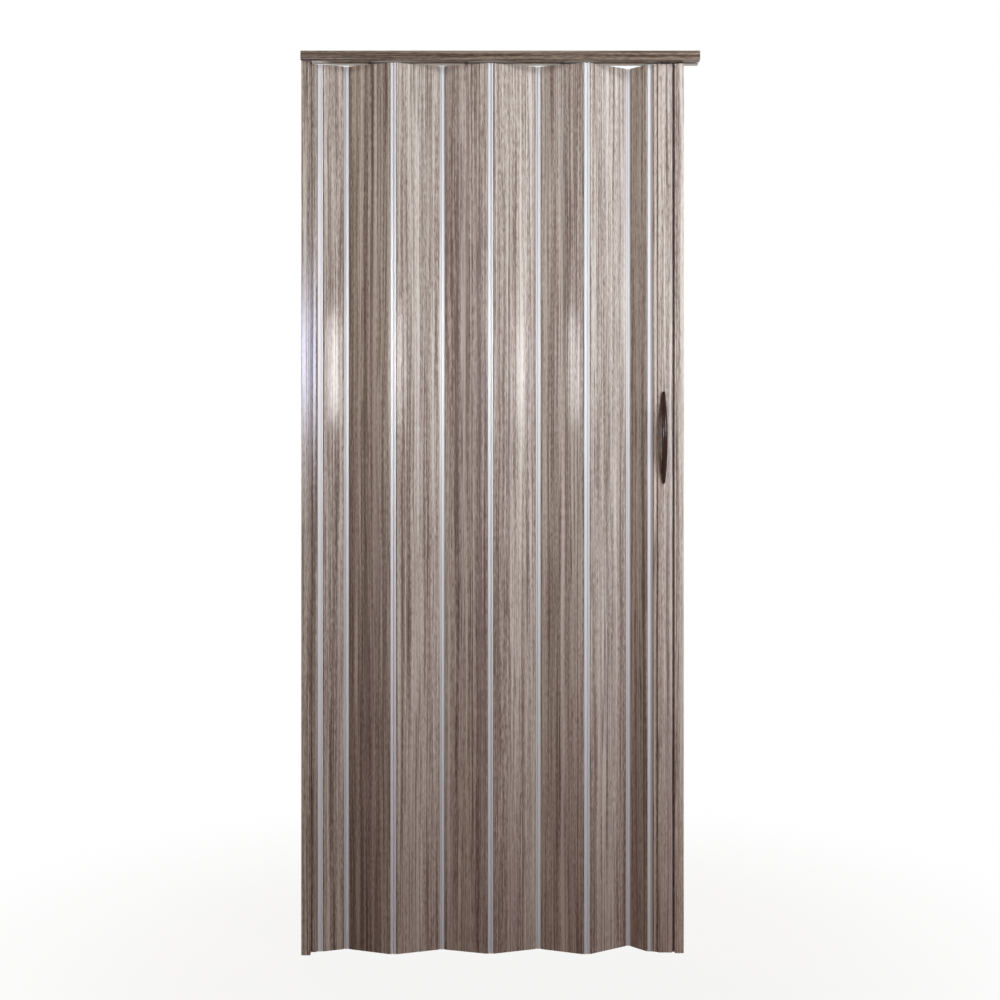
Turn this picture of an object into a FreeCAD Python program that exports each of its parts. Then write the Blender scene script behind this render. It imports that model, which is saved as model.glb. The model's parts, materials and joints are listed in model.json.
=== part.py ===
import FreeCAD, Part
import Sketcher
import math
import os

# An accordion door: eight hollow lamellae joined by clip-on hinge strips hang from a top track.
# Millimetres. The origin is the middle of the track's top face, X runs along the track, +Y to the back.

doc = FreeCAD.newDocument("accordion_door")

SIZES = {
    # opening and heights
    "doorHeight": (2030, "track's top face to the floor"),
    "leafTopGap": (4, "track's underside to the panels"),
    "leafFloorGap": (5, "panels to the floor"),
    # fold of this pose: degrees between the track and a line through a panel's two hinges
    "foldFirst": (16.2, "panels 1 and 2"),
    "foldSecond": (12.6, "panel 4"),
    "foldThird": (16.8, "panel 6"),
    "foldLast": (42.2, "panel 8"),
    "closingGap": (34.8, "closing channel to the end of the track"),
    # track
    "trackDepth": (54, "front to back"),
    "trackHeight": (21, "top face to underside"),
    "trackWall": (1.8, "sheet of the extrusion"),
    "trackSlot": (11, "slot that the hangers run in"),
    "trackRound": (4, "outer radius of the lower edges"),
    "trackHoleDiameter": (4.5, "screw holes in the top"),
    "trackHoleInset": (27.5, "outer screw holes to the ends"),
    "trackHoleCount": (4, "screw holes in the top"),
    # wall and closing channels, one section
    "channelWidth": (20.5, "along the opening"),
    "channelDepth": (26, "front to back"),
    "channelWall": (1.8, "flanges"),
    "channelWeb": (2, "back web"),
    "channelLip": (1.5, "thickness of the turned-in lips"),
    "channelMouth": (8.6, "gap between the lips"),
    "channelRound": (1.5, "outer corners"),
    "fluteWidth": (1.6, "grooves along the flanges"),
    "fluteDepth": (0.8, "grooves along the flanges"),
    "fluteInset": (3.2, "mouth to the first groove"),
    "flutePitch": (5.2, "groove to groove"),
    "channelHoleDiameter": (4.5, "screw holes in the wall channel's web"),
    "channelHoleInset": (155, "outer screw holes to the ends"),
    "channelHoleCount": (4, "screw holes in the wall channel's web"),
    # panels
    "panelWidth": (106, "bead to bead"),
    "panelThickness": (7, "over the faces"),
    "panelWall": (1, "face sheets"),
    "panelEdgeWall": (1.2, "edge walls"),
    "panelRibThickness": (0.9, "ribs between the cells"),
    "panelRound": (1.4, "outer corners"),
    "panelCells": (5, "cells across a panel"),
    "halfPanelCells": (2, "cells across a half panel"),
    # beads and sockets
    "beadDiameter": (3, "bead on each panel edge"),
    "neckThickness": (1, "web between bead and panel"),
    "socketClearance": (0.1, "round the bead"),
    "socketWall": (0.9, "wall of a socket"),
    "shoulderClearance": (0.4, "socket to the panel's edge"),
    # end strips, rigid between a stile and its half panel
    "socketSpan": (3.2, "between the two sockets"),
    "mouthFront": (20.5, "degrees that a mouth opens past the strip's line"),
    "mouthBack": (107, "degrees that a mouth opens to the fold side"),
    "capGroove": (0.6, "groove between the two rounds of the cap"),
    "capThickness": (1.4, "web of the cap"),
    # middle strips: two clips and the soft core that they fold on
    "coreDiameter": (4.2, "soft core"),
    "coreGap": (0.1, "core to a clip's socket"),
    "coreArmThickness": (2.4, "web from a socket to its core"),
    "coreCupWidth": (3.6, "seat on the core"),
    "stackGap": (0.1, "panel's face to the hinge's plane, folded flat"),
    # stiles
    "fixedStileWidth": (11, "shoulder to the end of the body"),
    "fixedStileThickness": (13, "over the faces"),
    "fixedStileGap": (2.5, "body to the wall channel"),
    "leadStileWidth": (42.3, "shoulder to the end of the body"),
    "leadStileThickness": (18, "over the faces"),
    "leadStileGap": (5, "body to the closing channel"),
    "leadNoseThickness": (9, "thin part beside the hinge strip"),
    "leadNoseWidth": (6.1, "thin part beside the hinge strip"),
    "leadRibThickness": (0.8, "rib between its two cells"),
    "stileWall": (1.4, "walls of both stiles"),
    "stileRound": (2, "outer corners of both stiles"),
    "tongueClearance": (0.3, "tongues between the channels' lips"),
    "tongueRoom": (5, "tongue's end to the channel's web"),
    "barbHeight": (2, "snap ridges above the tongue"),
    "barbLength": (4, "snap ridges along the tongue"),
    "barbClearance": (0.3, "snap ridges behind the lips"),
    # hangers
    "wheelDiameter": (11, "rollers"),
    "wheelWidth": (6, "rollers"),
    "wheelChamfer": (0.7, "edges of the rollers"),
    "wheelDish": (1.2, "recess in the outer face"),
    "wheelHubDiameter": (6, "boss inside the recess"),
    "wheelRunGap": (0.3, "rollers above the track's flanges"),
    "wheelInset": (0.7, "rollers from the slot's edge"),
    "wheelGap": (1.2, "carriage to roller"),
    "axleDiameter": (3, "steel axle"),
    "axleProud": (0.5, "axle past the rollers"),
    "runClearance": (0.05, "pins in their holes"),
    "carriageLength": (12, "along the track"),
    "carriageRound": (2, "upright corners"),
    "carriageRoof": (3.4, "web of the track to the carriage"),
    "carriageFloor": (0.6, "carriage above the track's flanges"),
    "slotClearance": (0.75, "round neck in the slot"),
    "hubStraight": (1.2, "straight neck below the track"),
    "hubTipDiameter": (4.8, "neck at the panel"),
    "hubGap": (0.4, "neck to the panel"),
    "pivotDiameter": (3, "steel pin"),
    "pivotRoof": (1, "pin below the axle's hole"),
    "pivotHeadDiameter": (4.4, "head that carries the plug"),
    "pivotHeadHeight": (1.5, "head that carries the plug"),
    "pivotHeadGap": (0.3, "head below the plug"),
    "plugDepth": (18, "insert in a cell's top"),
    "plugClearance": (0.1, "insert in its cell"),
    "plugChamfer": (0.8, "lead-in at the foot of the insert"),
    # handles
    "handleHeight": (1164, "middle of the handle above the floor"),
    "handleInset": (23, "middle of the handle to the stile's shoulder"),
    "handleLength": (208, "tip to tip"),
    "handleWidth": (14, "at the middle"),
    "handleTipWidth": (7, "at the tips"),
    "handleReach": (26, "out from the stile"),
    "handleThickness": (9, "bow at the middle"),
    "handleTipHeight": (3, "end face of a tip"),
    "handleFootLength": (26, "seat on the stile at each end"),
    "handleRound": (2.4, "long edges"),
    "screwInset": (19, "handle screws to the tips"),
    "screwDiameter": (3.5, "shank"),
    "screwHeadDiameter": (6, "head"),
    "screwHeadHeight": (2.2, "head"),
    "screwSeat": (5, "rear foot under the head"),
    "screwGrip": (7, "shank in the front foot"),
    "screwClearance": (0.2, "shank in the stile and the rear foot"),
}
PANEL_COUNT = 8
HANGER_PANELS = (2, 4, 6)

sheet = doc.addObject("Spreadsheet::Sheet", "Sizes")
for row, (alias, (value, meaning)) in enumerate(SIZES.items(), start=1):
    sheet.set(f"A{row}", alias)
    sheet.set(f"B{row}", str(value))
    sheet.setAlias(f"B{row}", alias)
    sheet.set(f"C{row}", meaning)
doc.recompute()


class Formula:
    """A size: the text of its expression on the sheet, and what it comes to."""

    def __init__(self, text, value):
        self.text = text
        self.value = value

    def __add__(self, other):
        other = formula(other)
        return Formula(f"({self.text} + {other.text})", self.value + other.value)

    def __sub__(self, other):
        other = formula(other)
        return Formula(f"({self.text} - {other.text})", self.value - other.value)

    def __mul__(self, other):
        other = formula(other)
        return Formula(f"({self.text} * {other.text})", self.value * other.value)

    def __truediv__(self, other):
        other = formula(other)
        return Formula(f"({self.text} / {other.text})", self.value / other.value)

    def __neg__(self):
        return Formula(f"(-1 * {self.text})", -self.value)

    def __radd__(self, other):
        return formula(other) + self

    def __rsub__(self, other):
        return formula(other) - self


def formula(number):
    return number if isinstance(number, Formula) else Formula(repr(number), float(number))


def cosine(angle):
    return Formula(f"cos({angle.text})", math.cos(math.radians(angle.value)))


def sine(angle):
    return Formula(f"sin({angle.text})", math.sin(math.radians(angle.value)))


def arcsine(ratio):
    """An angle as a plain number of degrees, so that it adds to the sheet's angles."""
    return Formula(f"(asin({ratio.text}) / 1 deg)", math.degrees(math.asin(ratio.value)))


def root(area):
    return Formula(f"sqrt({area.text})", math.sqrt(area.value))


class Cells:
    """The sheet's sizes by name."""

    def __getattr__(self, alias):
        return Formula(f"Sizes.{alias}", float(sheet.get(alias)))


cell = Cells()
ZERO = formula(0)


class Corner:
    """A corner of an outline. The edge that leaves it is straight, or an arc (centre x, y, radius, turn)."""

    def __init__(self, x, y, arc=None):
        self.x = formula(x)
        self.y = formula(y)
        self.arc = arc


def new_body(label):
    body = doc.addObject("PartDesign::Body", label)
    body.Label = label
    return body


def new_sketch(body, name, role="XY_Plane", lift=None):
    """A sketch on one of the body's own origin planes, lifted along that plane's normal."""
    sketch = body.newObject("Sketcher::SketchObject", f"{body.Name}_{name}")
    plane = next(f for f in body.Origin.OriginFeatures if f.Role == role)
    sketch.AttachmentSupport = [(plane, "")]
    sketch.MapMode = "FlatFace"
    if lift is not None:
        sketch.setExpression("AttachmentOffset.Base.z", lift.text)
    return sketch


def bind(sketch, constraint, size):
    """Adds a dimension to the sketch and ties it to the sheet."""
    index = sketch.addConstraint(constraint)
    sketch.renameConstraint(index, f"size{index}")
    sketch.setExpression(f"Constraints.size{index}", size.text)


def arc_edge(corner, following):
    """The arc between two corners, and whether it runs the way that the outline does."""
    centre_x, centre_y, radius, turn = corner.arc
    centre = FreeCAD.Vector(centre_x.value, centre_y.value, 0)
    ends = (corner, following) if turn > 0 else (following, corner)
    start, stop = (math.atan2(e.y.value - centre.y, e.x.value - centre.x) for e in ends)
    circle = Part.Circle(centre, FreeCAD.Vector(0, 0, 1), radius.value)
    return Part.ArcOfCircle(circle, start, stop if stop > start else stop + 2 * math.pi), turn > 0


def draw(sketch, corners):
    """Draws a closed outline. Two dimensions hold each corner, and one holds the radius of each arc."""
    first = sketch.GeometryCount
    heads, tails = [], []
    for corner, following in zip(corners, corners[1:] + corners[:1]):
        if corner.arc:
            edge, forward = arc_edge(corner, following)
        else:
            start = FreeCAD.Vector(corner.x.value, corner.y.value, 0)
            stop = FreeCAD.Vector(following.x.value, following.y.value, 0)
            edge, forward = Part.LineSegment(start, stop), True
        index = sketch.addGeometry(edge, False)
        heads.append((index, 1 if forward else 2))
        tails.append((index, 2 if forward else 1))
    joints = zip(heads, tails[-1:] + tails[:-1])
    sketch.addConstraint([Sketcher.Constraint("Coincident", *tail, *head) for head, tail in joints])
    for offset, (corner, head) in enumerate(zip(corners, heads)):
        for kind, size, axis in (("DistanceX", corner.x, -2), ("DistanceY", corner.y, -1)):
            if size.text == ZERO.text:
                sketch.addConstraint(Sketcher.Constraint("PointOnObject", *head, axis))
            else:
                bind(sketch, Sketcher.Constraint(kind, -1, 1, *head, size.value), size)
        if corner.arc:
            radius = corner.arc[2]
            bind(sketch, Sketcher.Constraint("Radius", first + offset, radius.value), radius)


def draw_circle(sketch, x, y, diameter):
    centre = FreeCAD.Vector(x.value, y.value, 0)
    index = sketch.addGeometry(Part.Circle(centre, FreeCAD.Vector(0, 0, 1), diameter.value / 2), False)
    bind(sketch, Sketcher.Constraint("Diameter", index, diameter.value), diameter)
    for kind, size, axis in (("DistanceX", x, -2), ("DistanceY", y, -1)):
        if size.text == ZERO.text:
            sketch.addConstraint(Sketcher.Constraint("PointOnObject", index, 3, axis))
        else:
            bind(sketch, Sketcher.Constraint(kind, -1, 1, index, 3, size.value), size)


def box_corners(left, right, low, high):
    return [Corner(left, low), Corner(right, low), Corner(right, high), Corner(left, high)]


def mirrored(corners, flip_x, flip_y):
    """The other half of a symmetrical outline, in the order that closes it. A flip is 1 or -1."""
    flipped = []
    for corner, before in zip(corners[::-1], corners[-2::-1] + [None]):
        arc = None
        if before is not None and before.arc:
            centre_x, centre_y, radius, way = before.arc
            arc = (centre_x * flip_x, centre_y * flip_y, radius, way)
        flipped.append(Corner(corner.x * flip_x, corner.y * flip_y, arc))
    return flipped


def pad(body, sketch, length, both_ways=False):
    feature = body.newObject("PartDesign::Pad", f"{sketch.Name}_pad")
    feature.Profile = sketch
    feature.setExpression("Length", length.text)
    feature.Midplane = both_ways
    return feature


def cut_through(body, sketch):
    """A cut through everything, both ways from the sketch."""
    feature = body.newObject("PartDesign::Pocket", f"{sketch.Name}_cut")
    feature.Profile = sketch
    feature.Type = "ThroughAll"
    feature.Midplane = True
    return feature


def cut_down(body, sketch, depth, reverse=False):
    """A cut of a given depth, against the sketch's normal unless reversed."""
    feature = body.newObject("PartDesign::Pocket", f"{sketch.Name}_cut")
    feature.Profile = sketch
    feature.setExpression("Length", depth.text)
    feature.Reversed = reverse
    return feature


def turn(body, sketch, axis="V_Axis"):
    feature = body.newObject("PartDesign::Revolution", f"{sketch.Name}_turned")
    feature.Profile = sketch
    feature.ReferenceAxis = (sketch, [axis])
    feature.Angle = 360
    return feature


def repeat(body, feature, sketch, axis, pitch, count):
    """Copies a feature along an axis of its sketch."""
    pattern = body.newObject("PartDesign::LinearPattern", f"{feature.Name}_row")
    pattern.Originals = [feature]
    pattern.Direction = (sketch, [axis])
    pattern.Mode = "Spacing"
    pattern.setExpression("Offset", pitch.text)
    pattern.setExpression("Occurrences", count.text)
    body.Tip = pattern
    return pattern


def round_edges(body, feature, radius, chosen):
    """Rounds the edges of a feature that the test picks."""
    doc.recompute()
    names = [f"Edge{n}" for n, edge in enumerate(feature.Shape.Edges, start=1) if chosen(edge)]
    rounding = body.newObject("PartDesign::Fillet", f"{feature.Name}_round")
    rounding.Base = (feature, names)
    rounding.setExpression("Radius", radius.text)
    return rounding


def place(body, x, y, z, turned=ZERO):
    for axis, size in (("x", x), ("y", y), ("z", z)):
        body.setExpression(f"Placement.Base.{axis}", formula(size).text)
    body.setExpression("Placement.Rotation.Angle", formula(turned).text)


# Sections that several pieces share
bead_radius = cell.beadDiameter / 2
neck = cell.neckThickness / 2
bead_flat = root(bead_radius * bead_radius - neck * neck)
socket_bore = bead_radius + cell.socketClearance
socket_radius = socket_bore + cell.socketWall
bead_spacing = socket_radius * 2 + cell.socketSpan
shoulder = socket_radius + cell.shoulderClearance
core_radius = cell.coreDiameter / 2
core_reach = socket_radius + core_radius + cell.coreGap
core_side = cell.panelThickness / 2 + cell.stackGap
core_lean = arcsine(core_side / core_reach)
core_run = root(core_reach * core_reach - core_side * core_side)
tongue_half = cell.channelMouth / 2 - cell.tongueClearance
tongue_length = cell.channelWidth - cell.channelWeb - cell.tongueRoom
lead_body_end = shoulder + cell.leadStileWidth

# The panels that hang from the track have the named folds. A panel between two of them takes their mean
# slope, so each hanger stays under the middle of the track.
FOLDS = {1: cell.foldFirst, 2: cell.foldFirst, 4: cell.foldSecond, 6: cell.foldThird, 8: cell.foldLast}


def slope(panel):
    if panel in FOLDS:
        return sine(FOLDS[panel])
    return (slope(panel - 1) + slope(panel + 1)) / 2


def panel_turn(panel):
    """A panel's turn from the track: its hinges lie on opposite sides, so it leans more than their line."""
    fold = FOLDS[panel] if panel in FOLDS else arcsine(slope(panel))
    return fold + hinge_tilt if panel % 2 else -fold - hinge_tilt


def panel_width(panel):
    return cell.panelWidth / 2 if panel in (1, PANEL_COUNT) else cell.panelWidth


half_reach = root((cell.panelWidth / 2 + core_run) * (cell.panelWidth / 2 + core_run) + core_side * core_side)
hinge_tilt = arcsine(core_side / half_reach)


def panel_run(panel):
    """Length of a panel along the track, hinge to hinge."""
    reach = half_reach if panel in (1, PANEL_COUNT) else half_reach * 2
    return reach * root(1 - slope(panel) * slope(panel))


# Heights
floor = -cell.doorHeight
track_underside = -cell.trackHeight
flange_top = track_underside + cell.trackWall
leaf_top = track_underside - cell.leafTopGap
leaf_bottom = floor + cell.leafFloorGap
leaf_height = leaf_top - leaf_bottom

# Places along the track, from its left end
fixed_bead_run = cell.channelWidth + cell.fixedStileGap + cell.fixedStileWidth + shoulder
hinge_runs = {1: fixed_bead_run + bead_spacing}
for panel in range(1, PANEL_COUNT + 1):
    hinge_runs[panel + 1] = hinge_runs[panel] + panel_run(panel)
lead_bead_run = hinge_runs[PANEL_COUNT + 1] + bead_spacing
lead_end_run = lead_bead_run + lead_body_end + cell.leadStileGap + cell.channelWidth
track_length = lead_end_run + cell.closingGap
track_left = -track_length / 2


def hinge_place(hinge):
    """Axis of a hinge: the first and the last under the track's middle, the rest in a zigzag."""
    if hinge in (1, PANEL_COUNT + 1):
        side = ZERO
    elif hinge % 2 == 0:
        side = half_reach * slope(hinge)
    else:
        side = -half_reach * slope(hinge - 1)
    return track_left + hinge_runs[hinge], side


lead_bead_x = track_left + lead_bead_run
cove = (cell.leadStileThickness - cell.leadNoseThickness) / 2
lead_cell_start = shoulder + cell.leadNoseWidth + cove + cell.stileWall
lead_cell_width = (lead_body_end - cell.stileWall - lead_cell_start - cell.leadRibThickness) / 2
lead_cell_pitch = lead_cell_width + cell.leadRibThickness
lead_inside = cell.leadStileThickness / 2 - cell.stileWall
handle_x = lead_bead_x + shoulder + cell.handleInset
handle_z = floor + cell.handleHeight
screw_drop = cell.handleLength / 2 - cell.screwInset


def make_track():
    """C-section rail: closed top, two inward flanges, a slot between them."""
    body = new_body("top_track")
    sketch = new_sketch(body, "section", "YZ_Plane")
    depth, wall, bend = cell.trackDepth / 2, cell.trackWall, cell.trackRound
    low, slot, inner = track_underside, cell.trackSlot / 2, cell.trackRound - cell.trackWall
    right_bend, left_bend, middle = depth - bend, bend - depth, low + bend
    draw(sketch, [
        Corner(-depth, 0),
        Corner(-depth, middle, (left_bend, middle, bend, 1)),
        Corner(left_bend, low),
        Corner(-slot, low),
        Corner(-slot, flange_top),
        Corner(left_bend, flange_top, (left_bend, middle, inner, -1)),
        Corner(wall - depth, middle),
        Corner(wall - depth, -wall),
        Corner(depth - wall, -wall),
        Corner(depth - wall, middle, (right_bend, middle, inner, -1)),
        Corner(right_bend, flange_top),
        Corner(slot, flange_top),
        Corner(slot, low),
        Corner(right_bend, low, (right_bend, middle, bend, 1)),
        Corner(depth, middle),
        Corner(depth, 0),
    ])
    pad(body, sketch, track_length, both_ways=True)
    holes = new_sketch(body, "screw_hole", "XY_Plane")
    draw_circle(holes, track_left + cell.trackHoleInset, ZERO, cell.trackHoleDiameter)
    hole = cut_down(body, holes, cell.trackWall)
    pitch = (track_length - cell.trackHoleInset * 2) / (cell.trackHoleCount - 1)
    repeat(body, hole, holes, "H_Axis", pitch, cell.trackHoleCount)


def channel_section(sketch):
    """U section open to +X, with lips at its mouth and two grooves along each flange."""
    mouth, deep, web = cell.channelWidth, cell.channelDepth / 2, cell.channelWeb
    bend, lip, gap = cell.channelRound, cell.channelWidth - cell.channelLip, cell.channelMouth / 2
    inside = deep - cell.channelWall

    def flutes(side):
        """The two grooves of one flange, from the mouth to the web."""
        corners = []
        for order in range(2):
            middle = mouth - cell.fluteInset - cell.flutePitch * order
            for shift, sink in ((1, 0), (0, 1), (-1, 0)):
                x = middle + cell.fluteWidth / 2 * shift
                corners.append(Corner(x, (deep - cell.fluteDepth * sink) * side))
        return corners if side > 0 else corners[::-1]

    draw(sketch, [
        Corner(0, bend - deep, (bend, bend - deep, bend, 1)),
        Corner(bend, -deep),
        *flutes(-1),
        Corner(mouth, -deep),
        Corner(mouth, -gap),
        Corner(lip, -gap),
        Corner(lip, -inside),
        Corner(web, -inside),
        Corner(web, inside),
        Corner(lip, inside),
        Corner(lip, gap),
        Corner(mouth, gap),
        Corner(mouth, deep),
        *flutes(1),
        Corner(bend, deep, (bend, deep - bend, bend, 1)),
        Corner(0, deep - bend),
    ])


def make_wall_channel():
    body = new_body("wall_channel")
    sketch = new_sketch(body, "section")
    height = track_underside - floor
    channel_section(sketch)
    pad(body, sketch, height)
    holes = new_sketch(body, "screw_hole", "YZ_Plane")
    draw_circle(holes, ZERO, cell.channelHoleInset, cell.channelHoleDiameter)
    hole = cut_down(body, holes, cell.channelWeb, reverse=True)
    pitch = (height - cell.channelHoleInset * 2) / (cell.channelHoleCount - 1)
    repeat(body, hole, holes, "V_Axis", pitch, cell.channelHoleCount)
    place(body, track_left, ZERO, floor)


def make_lead_channel():
    body = new_body("lead_channel")
    sketch = new_sketch(body, "section")
    channel_section(sketch)
    pad(body, sketch, leaf_height)
    place(body, track_left + lead_end_run, ZERO, leaf_bottom, formula(180))


def tongue_corners(start, gap):
    """Lower half of a tongue with its snap ridge, from the stile's body to the tongue's end."""
    ridge = start + gap + cell.channelLip + cell.barbClearance
    return [
        Corner(start, -tongue_half),
        Corner(ridge, -tongue_half),
        Corner(ridge, -tongue_half - cell.barbHeight),
        Corner(ridge + cell.barbLength, -tongue_half),
        Corner(start + gap + tongue_length, -tongue_half),
    ]


def tongue_cell(start, gap):
    """The hollow of a tongue."""
    inside = tongue_half - cell.stileWall
    return box_corners(start, start + gap + tongue_length - cell.stileWall, -inside, inside)


def stile_outline(body_corners, body_end, gap):
    """Bead, neck, body and tongue of a stile, the bead's axis at the origin and the tongue along +X."""
    lower = [
        Corner(bead_flat, -neck),
        Corner(shoulder, -neck),
        *body_corners,
        *tongue_corners(body_end, gap),
    ]
    upper = mirrored(lower, 1, -1)
    upper[-1].arc = (ZERO, ZERO, bead_radius, 1)
    return lower + upper


def make_fixed_stile():
    """Narrow stile that the wall channel holds."""
    body = new_body("fixed_stile")
    sketch = new_sketch(body, "section")
    half, bend, wall = cell.fixedStileThickness / 2, cell.stileRound, cell.stileWall
    near, far = shoulder, shoulder + cell.fixedStileWidth
    draw(sketch, stile_outline([
        Corner(near, bend - half, (near + bend, bend - half, bend, 1)),
        Corner(near + bend, -half),
        Corner(far - bend, -half, (far - bend, bend - half, bend, 1)),
        Corner(far, bend - half),
    ], far, cell.fixedStileGap))
    pad(body, sketch, leaf_height)
    hollow = new_sketch(body, "cells")
    draw(hollow, box_corners(near + wall, far - wall, wall - half, half - wall))
    draw(hollow, tongue_cell(far, cell.fixedStileGap))
    cut_through(body, hollow)
    place(body, track_left + fixed_bead_run, ZERO, leaf_bottom, formula(180))


def make_lead_stile():
    """Thick moulded stile: a thin nose at the hinge, a cove up to the face, two cells and a tongue."""
    body = new_body("lead_stile")
    sketch = new_sketch(body, "section")
    half, thin, bend = cell.leadStileThickness / 2, cell.leadNoseThickness / 2, cell.stileRound
    near, far, wall = shoulder, lead_body_end, cell.stileWall
    nose = near + cell.leadNoseWidth
    draw(sketch, stile_outline([
        Corner(near, bend - thin, (near + bend, bend - thin, bend, 1)),
        Corner(near + bend, -thin),
        Corner(nose, -thin, (nose, -half, cove, -1)),
        Corner(nose + cove, -half),
        Corner(far - bend, -half, (far - bend, bend - half, bend, 1)),
        Corner(far, bend - half),
    ], far, cell.leadStileGap))
    pad(body, sketch, leaf_height)
    hollow = new_sketch(body, "cells")
    draw(hollow, box_corners(near + wall, lead_cell_start - wall, wall - thin, thin - wall))
    for order in range(2):
        start = lead_cell_start + lead_cell_pitch * order
        draw(hollow, box_corners(start, start + lead_cell_width, -lead_inside, lead_inside))
    draw(hollow, tongue_cell(far, cell.leadStileGap))
    cut_through(body, hollow)
    holes = new_sketch(body, "handle_holes", "XZ_Plane")
    shank = cell.screwDiameter + cell.screwClearance * 2
    for side in (-1, 1):
        draw_circle(holes, near + cell.handleInset, handle_z - leaf_bottom + screw_drop * side, shank)
    cut_through(body, holes)
    place(body, lead_bead_x, ZERO, leaf_bottom)


def cell_width(width, count):
    return (width - (shoulder + cell.panelEdgeWall) * 2 - cell.panelRibThickness * (count - 1)) / count


def make_panel(number):
    """Hollow lamella with a bead on each edge, the left bead's axis at its origin."""
    width = panel_width(number)
    count = cell.halfPanelCells if number in (1, PANEL_COUNT) else cell.panelCells
    body = new_body(f"panel_{number}")
    sketch = new_sketch(body, "section")
    half, bend, near, far = cell.panelThickness / 2, cell.panelRound, shoulder, width - shoulder
    lower = [
        Corner(bead_flat, -neck),
        Corner(near, -neck),
        Corner(near, bend - half, (near + bend, bend - half, bend, 1)),
        Corner(near + bend, -half),
        Corner(far - bend, -half, (far - bend, bend - half, bend, 1)),
        Corner(far, bend - half),
        Corner(far, -neck),
        Corner(width - bead_flat, -neck, (width, ZERO, bead_radius, 1)),
    ]
    upper = mirrored(lower, 1, -1)
    upper[-1].arc = (ZERO, ZERO, bead_radius, 1)
    draw(sketch, lower + upper)
    pad(body, sketch, leaf_height)
    wide, inside = cell_width(width, count), half - cell.panelWall
    start = near + cell.panelEdgeWall
    hollow = new_sketch(body, "cell")
    draw(hollow, box_corners(start, start + wide, -inside, inside))
    opening = cut_through(body, hollow)
    repeat(body, opening, hollow, "H_Axis", wide + cell.panelRibThickness, count)
    x, y = hinge_place(number)
    angle = panel_turn(number)
    if number > 1:
        side = -core_side if number % 2 else core_side
        x = x + cosine(angle) * core_run - sine(angle) * side
        y = y + sine(angle) * core_run + cosine(angle) * side
    place(body, x, y, leaf_bottom, angle)


def make_end_strip(number, middle_x):
    """End strip: two C-shaped sockets joined by a cap that faces the front."""
    body = new_body(f"strip_{number}")
    sketch = new_sketch(body, "section")
    bore, outer, axis = socket_bore, socket_radius, bead_spacing / 2
    front, back = -cell.mouthFront, cell.mouthBack
    face = cell.capGroove - outer
    inside = face + cell.capThickness

    def lip(angle, radius, arc=None):
        return Corner(axis + cosine(angle) * radius, sine(angle) * radius, arc)

    right = [
        Corner(axis - root(outer * outer - face * face), face, (axis, ZERO, outer, 1)),
        lip(front, outer),
        lip(front, bore, (axis, ZERO, bore, -1)),
        lip(back, bore),
        lip(back, outer, (axis, ZERO, outer, 1)),
        Corner(axis - root(outer * outer - inside * inside), inside),
    ]
    draw(sketch, right + mirrored(right, -1, 1))
    pad(body, sketch, leaf_height)
    place(body, middle_x, ZERO, leaf_bottom)


def make_clip(number, side):
    """Half of a middle strip: a socket on a panel's bead, with the core (left half) or its seat (right)."""
    body = new_body(f"strip_{number}_{side}")
    sketch = new_sketch(body, "section")
    left, valley = side == "left", number % 2 == 0
    bore, outer = socket_bore, socket_radius
    mouth = formula(180) + core_lean if left == valley else formula(180) - core_lean
    gape = arcsine((neck + cell.socketClearance) / socket_bore)
    if left:
        half, around, way = cell.coreArmThickness / 2, core_radius, 1
    else:
        half, around, way = cell.coreCupWidth / 2, core_radius + cell.socketClearance, -1
    root_x = root(outer * outer - half * half)
    end_x = core_reach - root(around * around - half * half)

    def lip(angle, radius, arc=None):
        return Corner(cosine(angle) * radius, sine(angle) * radius, arc)

    draw(sketch, [
        Corner(root_x, half, (ZERO, ZERO, outer, 1)),
        lip(mouth - gape, outer),
        lip(mouth - gape, bore, (ZERO, ZERO, bore, -1)),
        lip(mouth + gape, bore),
        lip(mouth + gape, outer, (ZERO, ZERO, outer, 1)),
        Corner(root_x, -half),
        Corner(end_x, -half, (core_reach, ZERO, around, way)),
        Corner(end_x, half),
    ])
    pad(body, sketch, leaf_height)
    lean = -core_lean if valley else core_lean
    angle = panel_turn(number - 1) + lean if left else panel_turn(number) + formula(180) - lean
    x, y = hinge_place(number)
    place(body, x - cosine(angle) * core_reach, y - sine(angle) * core_reach, leaf_bottom, angle)


# Levels inside the track
axle_z = flange_top + cell.wheelRunGap + cell.wheelDiameter / 2
carriage_top = -cell.trackWall - cell.carriageRoof
carriage_bottom = flange_top + cell.carriageFloor
hub_tip = leaf_top + cell.hubGap
plug_bottom = leaf_top - cell.plugDepth
pivot_top = axle_z - cell.axleDiameter / 2 - cell.runClearance - cell.pivotRoof
wheel_inner = cell.trackSlot / 2 + cell.wheelInset
wheel_outer = wheel_inner + cell.wheelWidth
carriage_half = wheel_inner - cell.wheelGap
hub_radius = cell.trackSlot / 2 - cell.slotClearance
pin_hole = cell.pivotDiameter + cell.runClearance * 2


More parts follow.
